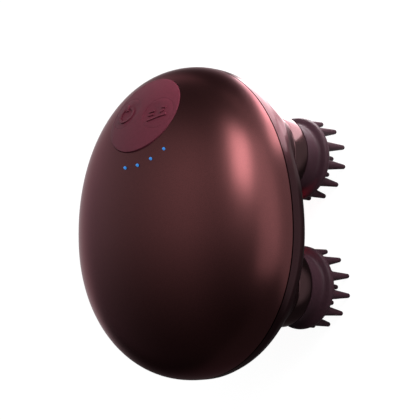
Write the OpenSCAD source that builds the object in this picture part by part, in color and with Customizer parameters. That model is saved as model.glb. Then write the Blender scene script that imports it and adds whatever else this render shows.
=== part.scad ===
// Electric scalp massager with four turning silicone heads.
// It stands on the finger tips of its heads at z = 0. +Z runs out of the smooth dome,
// +Y runs along the egg towards the control pad, and +X runs across it.

/* [Housing] */
// Length of the egg-shaped housing, along Y
body_length = 110; // [108:0.5:112]
// Width of the housing, along X
body_width = 93; // [91:0.5:95]
// How far the widest line lies below the middle of the length
widest_offset = 4; // [2:0.5:5]
// Height of the seam between the two shells, above the finger tips
seam_height = 43.2; // [43:0.1:43.6]
// Height of the dome above the seam
dome_height = 32.8; // [32:0.1:34]
// Depth of the back below the seam
back_depth = 17; // [16.8:0.1:17.4]
// Wall of both shells
wall = 2; // [1.8:0.1:2.2]

/* [Control pad] */
// Radius of the silicone pad
pad_radius = 15.3; // [15:0.1:15.6]
// Place of the pad's centre along Y
pad_y = 37; // [36:0.5:38]
// Lean of the pad towards the end of the housing, in degrees
pad_tilt = 29.2; // [28:0.1:30]
// How far the pad stands proud of the dome
pad_proud = 0.45; // [0.3:0.05:0.6]
// Radius of a key
key_radius = 6.1; // [5.8:0.1:6.2]
// Travel of a key when pressed
key_travel = 0.5; // [0.3:0.1:0.5]
// Distance of the indicator lights from the pad's centre
light_radius = 20.7; // [20:0.1:21]
// Angle of the row of lights round the pad, from straight down, in degrees
light_turn = 19.2; // [0:0.1:20]
// Angle between neighbouring lights, in degrees
light_pitch = 16.2; // [14:0.1:17]

/* [Massage heads] */
// Half of the distance between the left and the right heads
head_x = 21; // [20.8:0.1:21.2]
// Radius of the bronze hub behind each head
hub_radius = 14.4; // [14:0.1:14.5]
// Radius of the silicone head at its rim
rim_radius = 14.8; // [14.4:0.1:15]
// Length of the silicone fingers
finger_length = 9.2; // [8.8:0.1:9.6]
// Fingers in the outer ring
outer_fingers = 12; // [10:1:12]
// Fingers in the inner ring
inner_fingers = 8; // [6:1:8]

/* [Gears] */
// Teeth of the drive gear and of the transfer gear
drive_teeth = 25; // [25:1:25]
// Teeth of each head gear
head_teeth = 24; // [24:1:24]
// Teeth of the drive wheel above the drive gear
wheel_teeth = 54; // [54:1:54]
// Teeth of the idler's small pinion
idler_pinion_teeth = 14; // [14:1:14]
// Teeth of the idler's large wheel
idler_wheel_teeth = 56; // [56:1:56]
// Teeth of the motor pinion
motor_teeth = 12; // [12:1:12]

/* [Battery and motor] */
// Diameter of the rechargeable cell
cell_diameter = 17; // [16.5:0.5:17]
// Length of the cell
cell_length = 50; // [48:0.5:50]
// Diameter of the motor can
motor_diameter = 24.4; // [23.8:0.1:24.4]

/* [Hidden] */
QUADRANTS = [["upper_right", 1, 1], ["upper_left", -1, 1], ["lower_right", 1, -1], ["lower_left", -1, -1]];
HEAD_PIECES = ["massage_head", "hub", "hub_screw", "shaft", "gear"];

$fn = 48;
past = 1;               // how far a cut runs past the face it opens
egg_sides = 64;         // flats round the egg
outer_rings = 11;       // bands of facets from the rim to the crown, outside
inner_rings = 8;        // the same on the inside of a shell
egg_power = 2.1;        // the outline is an ellipse with slightly fuller corners
dome_power = 2.06;
back_power = 3;         // the back is flatter than the dome, with rounder shoulders
half_width = body_width / 2;
upper_half = body_length / 2 + widest_offset;
lower_half = body_length / 2 - widest_offset;

gasket_height = 0.6;
front_rim_z = seam_height + gasket_height / 2;
rear_rim_z = seam_height - gasket_height / 2;
lip_foot_z = 39.5;      // the lip of the rear shell, which reaches up inside the front one
lip_height = 2.2;
lip_inset = 0.4;
lip_wall = 0.9;

// Levels of the pieces, from the finger tips up to the motor
hub_z = 21.2;           // lower face of a hub, where the silicone starts
slit = 0.5;             // gap between a turning hub and the shell
pod_face_z = 28.6;      // face of the shell's pod behind a hub
pod_floor = 2;
pod_height = 7.4;       // of the flared collar round a hub
pod_flare = 2.2;        // how far that collar widens towards the seam
base_z = 33.2;          // underside of the gearbox base plate
plate = 1.6;            // thickness of the gearbox plates
gear_z = 35.6;
gear_height = 4;
cover_z = 40.4;
wheel_z = 42.6;
wheel_height = 3;
first_z = 46.2;         // the motor pinion and the wheel that it drives
first_height = 2.4;
motor_plate_z = 49.4;
motor_z = motor_plate_z + plate;
can_radius = motor_diameter / 2;
can_wall = 0.9;
can_height = 16.4;
motor_shaft_radius = 1;
endcap_height = 2;

// Gear train
coarse = 1;             // module of the head gears
medium = 0.6;           // module of the drive wheel
fine = 0.5;             // module of the motor pinion
pressure_angle = 25;
drive_radius = coarse * drive_teeth / 2;
head_gear_radius = coarse * head_teeth / 2;
head_y = sqrt(pow(drive_radius + head_gear_radius, 2) - pow(head_x - drive_radius, 2));
drive_place = [drive_radius, 0];
transfer_place = [-drive_radius, 0];
idler_rise = 12;        // the idler sits this far from the drive gear along Y
idler_reach = medium * (wheel_teeth + idler_pinion_teeth) / 2;
idler_place = [drive_radius - sqrt(pow(idler_reach, 2) - pow(idler_rise, 2)), idler_rise];
motor_place = idler_place - [0, fine * (idler_wheel_teeth + motor_teeth) / 2];
running = 0.05;         // radial clearance of a turning fit
snug = 0.02;            // radial clearance of a fixed fit
axle_radius = 2;        // of the drive gear and of the transfer gear
idler_axle_radius = 1.5;
shaft_radius = 2.5;     // of a head shaft
drive_hub = 4.5;        // outer radius of the drive gear's hub, which carries the drive wheel

// Control pad, in the frame of on_pad()
pad_height = 67.25;     // height of the dome under the pad's centre
pad_crown = 57;         // radius of the pad's domed face
pad_thickness = 1.8;
pad_centre_z = pad_proud - pad_crown;
pad_gap = 0.15;         // round the pad and round each key
frame_radius = 17.2;    // thick ring of the front shell that carries the pad
frame_depth = 5.2;
key_places = [[-8, 0.9], [7.9, -1.2]];
stem_radius = 2;
stem_end = -5.75;
stem_gap = 0.3;         // round the stem of a key
board_z = -10.2;
board_thickness = 1.2;
board_radius = 12.5;
board_posts = [[0, 10], [0, -10]];
post_radius = 2.2;
pipe_radius = 0.7;
pipe_foot = -7.9;       // lower end of a light pipe, just above its light
pipe_length = 4.75;
pipe_places = [for (i = [-1.5:1.5])
    let (a = light_turn + i * light_pitch) light_radius * [sin(a), -cos(a)]];

// Screws and the bosses that they enter
shell_screw_places = [[16.5, 38.5], [-16.5, 38.5], [0, -43.5]];
shell_screw_heads = [31.6, 31.6, 32.4];
shell_boss = 3;
gearbox_screw_places = [[0, 20.5], [3.7, -17.3], [34, 0], [-34, 0]];
gearbox_boss = 3.2;
motor_leg_places = [[-19.5, -6], [13.5, 21]];
near_leg_place = gearbox_screw_places[1];
motor_screw_places = [motor_place + [8, 0], motor_place - [8, 0]];
small_pilot = 0.8;      // radius of a hole that a small screw cuts its thread in
large_hole = 1.15;      // radius of a hole that a gearbox screw passes

// Light in the middle of the back
window_radius = 7.5;
window_flange_z = 28.4;
light_board_z = 31;

// Charging recess in the lower end
port_z = 38.2;
port_radius = 4;
port_floor_y = -51.6;
port_boss_y = -50;
contact_radius = 0.9;
contact_spread = 2.2;

// Battery, lying across the housing
cell_radius = cell_diameter / 2;
cell_y = -28.5;
cradle_z = cover_z + plate;
cell_z = cradle_z + 1.2 + cell_radius;
cell_gap = 0.1;         // round the cell
strap_x = -12;
strap_width = 8;
strap_thickness = 0.7;

// Colours
bronze = [0.30, 0.20, 0.19];
dark_bronze = [0.20, 0.15, 0.16];
wine = [0.42, 0.20, 0.24];
mauve = [0.27, 0.21, 0.24];

// ---------- Egg-shaped shells ----------

function power_point(angle, power) = let (c = cos(angle), s = sin(angle))
    [sign(c) * pow(abs(c), 2 / power), sign(s) * pow(abs(s), 2 / power)];

function egg_point(angle, inset, share) = let (p = power_point(angle, egg_power))
    [share * (half_width - inset) * p.x,
     share * ((p.y > 0 ? upper_half : lower_half) - inset) * p.y - widest_offset];

function egg_outline(inset, share = 1) =
    [for (i = [0:egg_sides - 1]) egg_point(360 * i / egg_sides, inset, share)];

// A closed cap over the egg outline: its base at z = 0, or lower by a straight skirt
module egg_cap(inset, height, power, rings, skirt = 0) {
    levels = concat(
        skirt > 0 ? [[1, -skirt]] : [],
        [for (j = [0:rings - 1]) let (p = power_point(90 * j / rings, power)) [p.x, height * p.y]]);
    points = concat(
        [for (level = levels) for (p = egg_outline(inset, level[0])) [p.x, p.y, level[1]]],
        [[0, -widest_offset, height]]);
    last = len(levels) - 1;
    crown = len(points) - 1;
    base_face = [[for (i = [0:egg_sides - 1]) i]];
    band_faces = [for (j = [0:last - 1]) for (i = [0:egg_sides - 1])
        let (a = j * egg_sides + i, b = j * egg_sides + (i + 1) % egg_sides)
        each [[a, a + egg_sides, b + egg_sides], [a, b + egg_sides, b]]];
    crown_faces = [for (i = [0:egg_sides - 1])
        [last * egg_sides + i, crown, last * egg_sides + (i + 1) % egg_sides]];
    polyhedron(points, concat(base_face, band_faces, crown_faces), convexity = 4);
}

module dome(inset, rings, skirt = 0)
    translate([0, 0, front_rim_z])
        egg_cap(inset, dome_height - gasket_height / 2 - inset, dome_power, rings, skirt);

module bowl(inset, rings, skirt = 0)
    translate([0, 0, rear_rim_z]) mirror([0, 0, 1])
        egg_cap(inset, back_depth - gasket_height / 2 - inset, back_power, rings, skirt);

module egg_band(outer_inset, inner_inset, z, height)
    translate([0, 0, z]) linear_extrude(height) difference() {
        polygon(egg_outline(outer_inset));
        polygon(egg_outline(inner_inset));
    }

// ---------- Places ----------

module on_pad() translate([0, pad_y, pad_height]) rotate([-pad_tilt, 0, 0]) children();

module at(places, z = 0) for (p = places) translate([p.x, p.y, z]) children();

function head_place(q) = [q[1] * head_x, q[2] * head_y];

module at_heads(z = 0) at([for (q = QUADRANTS) head_place(q)], z) children();

// A screw with a pan head at z = 0 and its shank along +Z
module screw(shank_radius, length, head_radius, head_height) {
    translate([0, 0, -head_height]) difference() {
        cylinder(r = head_radius, h = head_height);
        cube([head_radius * 1.3, 0.5, 1], center = true);
        cube([0.5, head_radius * 1.3, 1], center = true);
    }
    cylinder(r = shank_radius, h = length);
}

// ---------- Housing ----------

module front_shell() color(bronze) difference() {
    dome(0, outer_rings);
    difference() {
        dome(wall, inner_rings, past);
        on_pad() translate([0, 0, -frame_depth]) cylinder(r = frame_radius, h = 20);
        on_pad() at(board_posts, board_z + board_thickness) cylinder(r = post_radius, h = 10);
        at(shell_screw_places, seam_height + 0.1) cylinder(r = shell_boss, h = 30);
    }
    on_pad() difference() {
        translate([0, 0, -frame_depth]) cylinder(r = pad_radius + pad_gap, h = 2 * frame_depth);
        translate([0, 0, pad_centre_z]) sphere(r = pad_crown - pad_thickness - snug, $fn = 96);
    }
    on_pad() at(key_places, -20) cylinder(r = stem_radius + stem_gap, h = 25);
    on_pad() at(pipe_places, -20) cylinder(r = pipe_radius + snug, h = 25);
    on_pad() at(board_posts, board_z - past) cylinder(r = small_pilot, h = 7);
    at(shell_screw_places, seam_height - past) cylinder(r = 1.1, h = 12);
}

module rear_shell() color(dark_bronze) difference() {
    union() {
        difference() {
            union() {
                bowl(0, outer_rings);
                at_heads(pod_face_z)
                    cylinder(r1 = hub_radius + 0.2, r2 = hub_radius + 0.2 + pod_flare, h = pod_height);
            }
            difference() {
                bowl(wall, inner_rings, past);
                at_heads(pod_face_z - 2) cylinder(r = hub_radius + pod_flare, h = 2 + pod_floor);
                light_board_seat();
                at(gearbox_screw_places, 20) cylinder(r = gearbox_boss, h = base_z - 20);
                at(shell_screw_places, 20) cylinder(r = shell_boss, h = seam_height - 20.1);
                translate([0, port_boss_y, port_z]) rotate([90, 0, 0])
                    cylinder(r = port_radius + 0.9, h = 10);
            }
        }
        egg_band(1, wall + lip_inset + lip_wall, lip_foot_z, rear_rim_z - lip_foot_z);
        egg_band(wall + lip_inset, wall + lip_inset + lip_wall, rear_rim_z - 0.1, lip_height);
    }
    at_heads(pod_face_z - 10) cylinder(r = hub_radius + slit, h = 10);
    at_heads(pod_face_z - past) cylinder(r = 5 + snug, h = pod_floor + 2 * past);
    translate([0, 0, 20]) cylinder(r = window_radius + 0.1, h = 10);
    at(gearbox_screw_places, base_z - 2.4) cylinder(r = small_pilot, h = 2.4 + past);
    for (i = [0:2]) translate([shell_screw_places[i].x, shell_screw_places[i].y, 0]) {
        cylinder(r = 1.35, h = 60);
        cylinder(r = 2.6, h = shell_screw_heads[i]);
    }
    translate([0, port_floor_y, port_z]) rotate([90, 0, 0]) cylinder(r = port_radius, h = 10);
    charging_pair(contact_radius + snug, port_floor_y - past, 4);
}

// Low ring inside the back that the light board lies on
module light_board_seat() difference() {
    translate([0, 0, 27]) cylinder(r = 10.4, h = light_board_z - 27);
    translate([0, 0, 26]) cylinder(r = 9, h = 10);
}

module seam_gasket() color([0.08, 0.07, 0.08]) egg_band(0.6, wall - 0.1, rear_rim_z, gasket_height);

module shell_screws() color("silver") for (i = [0:2])
    translate([shell_screw_places[i].x, shell_screw_places[i].y, shell_screw_heads[i]])
        screw(1.05, 19, 2.4, 1.6);

// ---------- Control pad ----------

// A disc of the pad's domed sheet
module pad_sheet(radius, thickness) difference() {
    intersection() {
        translate([0, 0, -6]) cylinder(r = radius, h = 12, $fn = 96);
        translate([0, 0, pad_centre_z]) sphere(r = pad_crown, $fn = 96);
    }
    translate([0, 0, pad_centre_z]) sphere(r = pad_crown - thickness, $fn = 96);
}

module control_pad() color(wine) on_pad() difference() {
    pad_sheet(pad_radius, pad_thickness);
    at(key_places, -6) cylinder(r = key_radius + pad_gap, h = 12);
}

module key(place) color(wine) on_pad() {
    difference() {
        intersection() {
            pad_sheet(pad_radius, pad_thickness - key_travel - 0.2);
            translate([place.x, place.y, -6]) cylinder(r = key_radius, h = 12);
        }
        translate([place.x, place.y, 29.6]) sphere(r = 30);
    }
    translate([place.x, place.y, stem_end]) cylinder(r = stem_radius, h = -stem_end - 0.9);
}

module light_pipes() color([0.55, 0.75, 0.95]) on_pad() at(pipe_places) {
    translate([0, 0, pipe_foot]) cylinder(r = pipe_radius, h = pipe_length);
    translate([0, 0, pipe_foot + 0.3]) cylinder(r = 1.2, h = 1);
}

module control_board() color("darkgreen") on_pad() translate([0, 0, board_z])
    linear_extrude(board_thickness) difference() {
        union() {
            circle(r = board_radius);
            rotate(light_turn) translate([-10.5, -light_radius - 1.8]) square([21, light_radius]);
        }
        at(board_posts) circle(r = 1.1);
    }

module tact_switches() color("dimgray") on_pad() at(key_places, board_z + board_thickness) {
    translate([-2.25, -2.25, 0]) cube([4.5, 4.5, 2.2]);
    cylinder(r = 1.2, h = 2.7);
}

module indicator_leds() color("white") on_pad() at(pipe_places, board_z + board_thickness)
    translate([-0.8, -0.5, 0]) cube([1.6, 1, 0.7]);

module board_screws() color("silver") on_pad() at(board_posts, board_z) screw(0.78, 5.4, 1.7, 1.1);

// ---------- Red light and charging ----------

module light_window() color([0.75, 0.10, 0.12]) {
    translate([0, 0, 25.7]) cylinder(r1 = window_radius - 0.7, r2 = window_radius, h = 0.5);
    translate([0, 0, 26.2]) cylinder(r = window_radius, h = window_flange_z - 26.2);
    translate([0, 0, window_flange_z]) cylinder(r = window_radius + 1.3, h = 0.9);
}

module light_board() color("darkgreen") translate([0, 0, light_board_z]) cylinder(r = 9.8, h = 1);

module red_leds() color([0.9, 0.2, 0.2]) for (a = [0:120:240])
    rotate(a) translate([3.8, -1.4, light_board_z - 0.9]) cube([2.8, 2.8, 0.9]);

module charging_pair(radius, y, length)
    for (x = [-contact_spread, contact_spread])
        translate([x, y, port_z]) rotate([-90, 0, 0]) cylinder(r = radius, h = length);

module charging_contacts() color("gold")
    charging_pair(contact_radius, port_floor_y, port_boss_y - port_floor_y);

module charging_board() color("darkgreen")
    translate([-7, port_boss_y, port_z - 2.8]) cube([14, 1.2, 7]);

// ---------- Battery ----------

module along_x(radius, length) rotate([0, 90, 0]) cylinder(r = radius, h = length, center = true);

module battery_cell() color([0.20, 0.35, 0.60]) translate([0, cell_y, cell_z]) {
    along_x(cell_radius, cell_length);
    translate([cell_length / 2 + 0.5, 0, 0]) along_x(2.8, 1);
}

module battery_cradle() color("dimgray") difference() {
    translate([-22, cell_y - 8, cradle_z]) cube([44, 16, 4.6]);
    translate([0, cell_y, cell_z]) along_x(cell_radius + cell_gap, 60);
}

// A tape over the cell, straight down on both sides
module battery_strap() color([0.85, 0.85, 0.80]) translate([strap_x, cell_y, cell_z]) difference() {
    inside = cell_radius + cell_gap;
    outside = inside + strap_thickness;
    union() {
        along_x(outside, strap_width);
        translate([-strap_width / 2, -outside, -8]) cube([strap_width, 2 * outside, 8]);
    }
    along_x(inside, strap_width + past);
    translate([-strap_width, -inside, -10]) cube([2 * strap_width, 2 * inside, 10]);
}

// ---------- Gears ----------

function involute_angle(a) = tan(a) * 180 / PI - a;

// Half of a tooth's angle at a radius, seen from the gear's axis
function half_tooth(module_size, teeth, backlash, radius) =
    let (pitch = module_size * teeth / 2, base = pitch * cos(pressure_angle))
    90 / teeth - backlash / 4 / pitch * 180 / PI
        + involute_angle(pressure_angle) - involute_angle(acos(min(1, base / radius)));

function gear_outline(module_size, teeth, backlash, turn) =
    let (pitch = module_size * teeth / 2,
         root = pitch - 1.2 * module_size,
         start = max(root, pitch * cos(pressure_angle)),
         tip = pitch + 0.9 * module_size,
         steps = 3,
         flank = [for (k = [0:steps]) start + (tip - start) * k / steps],
         side = concat([[root, half_tooth(module_size, teeth, backlash, start)]],
                       [for (r = flank) [r, half_tooth(module_size, teeth, backlash, r)]]),
         count = len(side))
    [for (i = [0:teeth - 1]) let (middle = turn + i * 360 / teeth) each concat(
        [for (p = side) p[0] * [cos(middle - p[1]), sin(middle - p[1])]],
        [for (k = [1:count]) let (p = side[count - k]) p[0] * [cos(middle + p[1]), sin(middle + p[1])]])];

// Turn of a gear that meshes with one already placed, whose teeth and turn are known, in a direction
function mesh_turn(turn, teeth, own_teeth, direction) =
    direction + 180 - (turn - direction) * teeth / own_teeth - 180 / own_teeth;

module gear(module_size, teeth, height, bore, turn, backlash)
    linear_extrude(height) difference() {
        polygon(gear_outline(module_size, teeth, backlash, turn));
        circle(r = bore);
    }

module ring(outer, inner, height) linear_extrude(height) difference() {
    circle(r = outer);
    circle(r = inner);
}

function direction_of(from, to) = atan2(to.y - from.y, to.x - from.x);

coarse_backlash = 0.24;
fine_backlash = 0.16;
transfer_turn = mesh_turn(0, drive_teeth, drive_teeth, 180);

module drive_gear() color("ivory") at([drive_place]) {
    translate([0, 0, gear_z])
        gear(coarse, drive_teeth, gear_height, axle_radius + running, 0, coarse_backlash);
    translate([0, 0, gear_z - 0.6])
        ring(drive_hub, axle_radius + running, wheel_z + wheel_height - gear_z + 0.6);
}

module drive_wheel() color("ivory") at([drive_place], wheel_z)
    gear(medium, wheel_teeth, wheel_height, drive_hub + snug, 0, fine_backlash);

module transfer_gear() color("ivory") at([transfer_place]) {
    translate([0, 0, gear_z])
        gear(coarse, drive_teeth, gear_height, axle_radius + running, transfer_turn, coarse_backlash);
    translate([0, 0, gear_z - 0.6]) ring(4, axle_radius + running, gear_height + 1.2);
}

module idler_gear() color("ivory") at([idler_place]) {
    pinion_turn = mesh_turn(0, wheel_teeth, idler_pinion_teeth, direction_of(drive_place, idler_place));
    bore = idler_axle_radius + running;
    translate([0, 0, wheel_z])
        gear(medium, idler_pinion_teeth, first_z - wheel_z, bore, pinion_turn, fine_backlash);
    translate([0, 0, first_z]) gear(fine, idler_wheel_teeth, first_height, bore, 0, fine_backlash);
    translate([0, 0, wheel_z - 0.4]) ring(2.8, bore, 0.6);
}

module gear_axles() color("silver") {
    at([drive_place], base_z) cylinder(r = axle_radius, h = motor_z - base_z);
    at([transfer_place], base_z) cylinder(r = axle_radius, h = cradle_z - base_z);
    at([idler_place], cover_z) cylinder(r = idler_axle_radius, h = motor_z - cover_z);
}

// ---------- Gearbox plates ----------

module plate_outline(head_reach) union() {
    at([for (q = QUADRANTS) head_place(q)]) circle(r = head_reach);
    square([2 * head_x, 2 * head_y + 2 * 5], center = true);
    square([2 * head_x + 12, 2 * head_y], center = true);
    square([68, 9], center = true);
    at([[34, 0], [-34, 0]]) circle(r = 4.5);
}

module gearbox_base() color("gray") {
    difference() {
        union() {
            translate([0, 0, base_z]) linear_extrude(plate) plate_outline(7);
            at(gearbox_screw_places, base_z) cylinder(r = 2.4, h = cover_z - base_z);
        }
        at_heads(base_z - past) cylinder(r = 4 + snug, h = 4);
        at([drive_place, transfer_place], base_z - past) cylinder(r = axle_radius + snug, h = 4);
        at(gearbox_screw_places, base_z - past) cylinder(r = large_hole, h = 12);
    }
}

module gearbox_cover() color("gray") difference() {
    translate([0, 0, cover_z]) linear_extrude(plate) plate_outline(6);
    at_heads(cover_z - past) cylinder(r = axle_radius + running, h = 4);
    at([drive_place], cover_z - past) cylinder(r = drive_hub + 0.5, h = 4);
    at([transfer_place], cover_z - past) cylinder(r = axle_radius + snug, h = 4);
    at([idler_place], cover_z - past) cylinder(r = idler_axle_radius + snug, h = 4);
    at(gearbox_screw_places, cover_z - past) cylinder(r = large_hole, h = 4);
    at(motor_leg_places, cover_z - past) cylinder(r = small_pilot, h = 4);
}

// The second screw also holds the motor plate's near leg, so it is the long one
module gearbox_screws() color("silver") for (i = [0:3])
    at([gearbox_screw_places[i]], i == 1 ? motor_z : cover_z + plate)
        mirror([0, 0, 1]) screw(1.1, i == 1 ? motor_z - base_z - 0.2 : 8.6, 2, 1.3);

module shaft_bushings() color([0.75, 0.55, 0.30]) at_heads() {
    translate([0, 0, 31]) ring(4, shaft_radius + running, base_z + plate - 31);
    translate([0, 0, 32.4]) ring(5, 3.5, base_z - 32.4);
}

module shaft_seals() color([0.12, 0.12, 0.12]) at_heads(pod_face_z)
    ring(5, shaft_radius + running, pod_floor);

// ---------- Motor ----------

// A disc under the motor with an arm to each leg
module motor_plate_outline() union() {
    at([motor_place]) circle(r = can_radius + 0.4);
    at(motor_leg_places) circle(r = 3);
    at([near_leg_place]) circle(r = 2.5);
    translate(motor_leg_places[0] - [0, 3]) square([16, 6]);
    translate([-8, 0]) square([24.5, 14]);
    translate(motor_leg_places[1] - [3, 8]) square([6, 8]);
    translate(near_leg_place - [4, 0]) square([6.5, 5]);
}

module motor_plate() color("silver") difference() {
    union() {
        translate([0, 0, motor_plate_z]) linear_extrude(plate) motor_plate_outline();
        at(concat(motor_leg_places, [near_leg_place]), cradle_z)
            cylinder(r = 2, h = motor_plate_z - cradle_z + 0.4);
    }
    at([motor_place], motor_plate_z - past) cylinder(r = 3.4, h = 4);
    at(motor_screw_places, motor_plate_z - past) cylinder(r = 1.3, h = 4);
    at([drive_place], motor_plate_z - past) cylinder(r = axle_radius + snug, h = 4);
    at([idler_place], motor_plate_z - past) cylinder(r = idler_axle_radius + snug, h = 4);
    at(concat(motor_leg_places, [near_leg_place]), cradle_z - past) cylinder(r = large_hole, h = 12);
}

module motor_plate_screws() color("silver") at(motor_leg_places, motor_z)
    mirror([0, 0, 1]) screw(0.78, motor_z - cover_z - 0.2, 1.8, 1.2);

module motor_can() color("lightgray") at([motor_place], motor_z) difference() {
    union() {
        cylinder(r = can_radius, h = can_height);
        translate([0, 0, -1.4]) cylinder(r = 3.3, h = 1.5);
    }
    translate([0, 0, 1.2]) cylinder(r = can_radius - can_wall, h = can_height);
    translate([0, 0, -2]) cylinder(r = motor_shaft_radius + running, h = 4);
    at([[8, 0], [-8, 0]], -past) cylinder(r = 1.22, h = 3);
}

module motor_magnets() color([0.25, 0.25, 0.27]) at([motor_place], motor_z + 3) linear_extrude(10.5)
    for (side = [0, 180]) rotate(side) difference() {
        circle(r = can_radius - can_wall - snug);
        circle(r = 9.2);
        translate([-20, -20]) square([40, 25]);
    }

module motor_endcap() color([0.15, 0.15, 0.15]) at([motor_place], motor_z + can_height) difference() {
    union() {
        cylinder(r = can_radius - 0.6, h = endcap_height);
        translate([0, 0, -1.2]) ring(can_radius - can_wall - snug, can_radius - 2.6, 1.3);
        for (x = [-6, 6]) translate([x - 1, -0.3, endcap_height - 0.1]) cube([2, 0.6, 1.4]);
    }
    translate([0, 0, -past]) cylinder(r = motor_shaft_radius + running, h = 2);
}

module motor_screws() color("silver") at(motor_screw_places, motor_plate_z) screw(1.2, plate + 1.2, 2, 1.1);

module motor_armature() color([0.70, 0.40, 0.20]) at([motor_place], motor_z + 3.5) {
    linear_extrude(9.5) difference() {
        union() {
            circle(r = 4);
            for (a = [90:120:330]) rotate(a) {
                translate([0, -1.5]) square([8, 3]);
                intersection() {
                    difference() {
                        circle(r = 8.6);
                        circle(r = 7);
                    }
                    translate([2, -6]) square([8, 12]);
                }
            }
        }
        circle(r = motor_shaft_radius + snug);
    }
}

module motor_shaft() color("silver") at([motor_place], first_z - 0.4)
    cylinder(r = motor_shaft_radius, h = motor_z + can_height + 0.7 - first_z + 0.4);

module motor_pinion() color([0.80, 0.65, 0.30]) at([motor_place], first_z)
    gear(fine, motor_teeth, first_height + 0.2, motor_shaft_radius + snug,
         mesh_turn(0, idler_wheel_teeth, motor_teeth, -90), fine_backlash);

// ---------- Massage heads ----------

spigot_radius = 8;
spigot_z = 13.2;
web_z = 20.6;           // underside of the web that the hub screw pulls on
shaft_end_z = 23.2;
barrel = 40;            // radius of a hub's bulging side

function head_gear_turn(q) = q[1] > 0
    ? mesh_turn(0, drive_teeth, head_teeth, direction_of(drive_place, head_place(q)))
    : mesh_turn(transfer_turn, drive_teeth, head_teeth, direction_of(transfer_place, head_place(q)));

module head_gear(q) color("ivory") at([head_place(q)]) {
    translate([0, 0, gear_z])
        gear(coarse, head_teeth, gear_height, shaft_radius + snug, head_gear_turn(q), coarse_backlash);
    translate([0, 0, gear_z - 0.6]) ring(4.5, shaft_radius + snug, gear_height + 1.1);
}

module head_shaft(q) color("silver") at([head_place(q)]) difference() {
    union() {
        translate([0, 0, shaft_end_z]) cylinder(r = shaft_radius, h = cover_z - shaft_end_z - 0.05);
        translate([0, 0, shaft_end_z]) cylinder(r = axle_radius, h = cradle_z - shaft_end_z);
    }
    translate([0, 0, shaft_end_z - past]) cylinder(r = 1.22, h = 7);
}

module head_hub(q) color([0.34, 0.24, 0.22]) at([head_place(q)]) difference() {
    union() {
        rotate_extrude($fn = 96) intersection() {
            translate([0, hub_z]) square([20, pod_face_z - slit - hub_z]);
            translate([hub_radius - barrel, (hub_z + pod_face_z - slit) / 2 - 0.4])
                circle(r = barrel, $fn = 360);
        }
        translate([0, 0, spigot_z]) cylinder(r = spigot_radius, h = hub_z - spigot_z + 0.1);
    }
    translate([0, 0, shaft_end_z - 0.05]) cylinder(r = shaft_radius + snug, h = 10);
    translate([0, 0, spigot_z - past]) cylinder(r = 5.5, h = web_z - spigot_z + past);
    cylinder(r = 1.3, h = 40);
}

module head_hub_screw(q) color("silver") at([head_place(q)], web_z) screw(1.2, 6.6, 2.4, 1.5);

groove_radius = 7.7;    // the waist of a head is one hollow round groove
groove_z = 15.65;
bead = 0.95;            // radius of the rounded rim

module finger(place_radius, angle, lean) rotate(angle) translate([place_radius, 0, finger_length + 0.3])
    rotate([0, -lean, 0]) {
        tip = 0.75;
        reach = (finger_length + 0.3 - tip) / cos(lean);
        translate([0, 0, -reach]) cylinder(r1 = tip, r2 = 1.7, h = reach, $fn = 24);
        translate([0, 0, -reach]) sphere(r = tip, $fn = 24);
    }

module massage_head(q) color(mauve) at([head_place(q)]) {
    difference() {
        union() {
            rotate_extrude($fn = 96) difference() {
                translate([0, finger_length]) square([rim_radius - 0.5, hub_z - 0.05 - finger_length]);
                translate([rim_radius - 2.5 + groove_radius, groove_z]) circle(r = groove_radius, $fn = 96);
            }
            rotate_extrude($fn = 96) translate([rim_radius - bead, finger_length + bead])
                circle(r = bead, $fn = 32);
        }
        translate([0, 0, spigot_z - 0.1]) cylinder(r = spigot_radius + running, h = 10);
    }
    finger(0, 0, 0);
    for (i = [0:inner_fingers - 1]) finger(7.2, i * 360 / inner_fingers, 3);
    for (i = [0:outer_fingers - 1]) finger(12.5, (i + 0.5) * 360 / outer_fingers, 6.5);
}

// ---------- Nodes ----------

module head_piece(q, piece) {
    if (piece == "massage_head") massage_head(q);
    if (piece == "hub") head_hub(q);
    if (piece == "hub_screw") head_hub_screw(q);
    if (piece == "shaft") head_shaft(q);
    if (piece == "gear") head_gear(q);
}

front_shell();
rear_shell();
seam_gasket();
shell_screws();
control_pad();
key(key_places[0]);  // power_button
key(key_places[1]);  // mode_button
light_pipes();
control_board();
tact_switches();
indicator_leds();
board_screws();
light_window();
light_board();
red_leds();
charging_contacts();
charging_board();
battery_cell();
battery_cradle();
battery_strap();
gearbox_base();
gearbox_cover();
gearbox_screws();
gear_axles();
shaft_bushings();
shaft_seals();
motor_plate();
motor_plate_screws();
motor_can();
motor_magnets();
motor_endcap();
motor_screws();
motor_armature();
motor_shaft();
motor_pinion();
idler_gear();
drive_gear();
drive_wheel();
transfer_gear();
for (q = QUADRANTS) for (piece = HEAD_PIECES)
    head_piece(q, piece);
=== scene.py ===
import math

import bmesh
import bpy
from mathutils import Matrix, Vector


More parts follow.
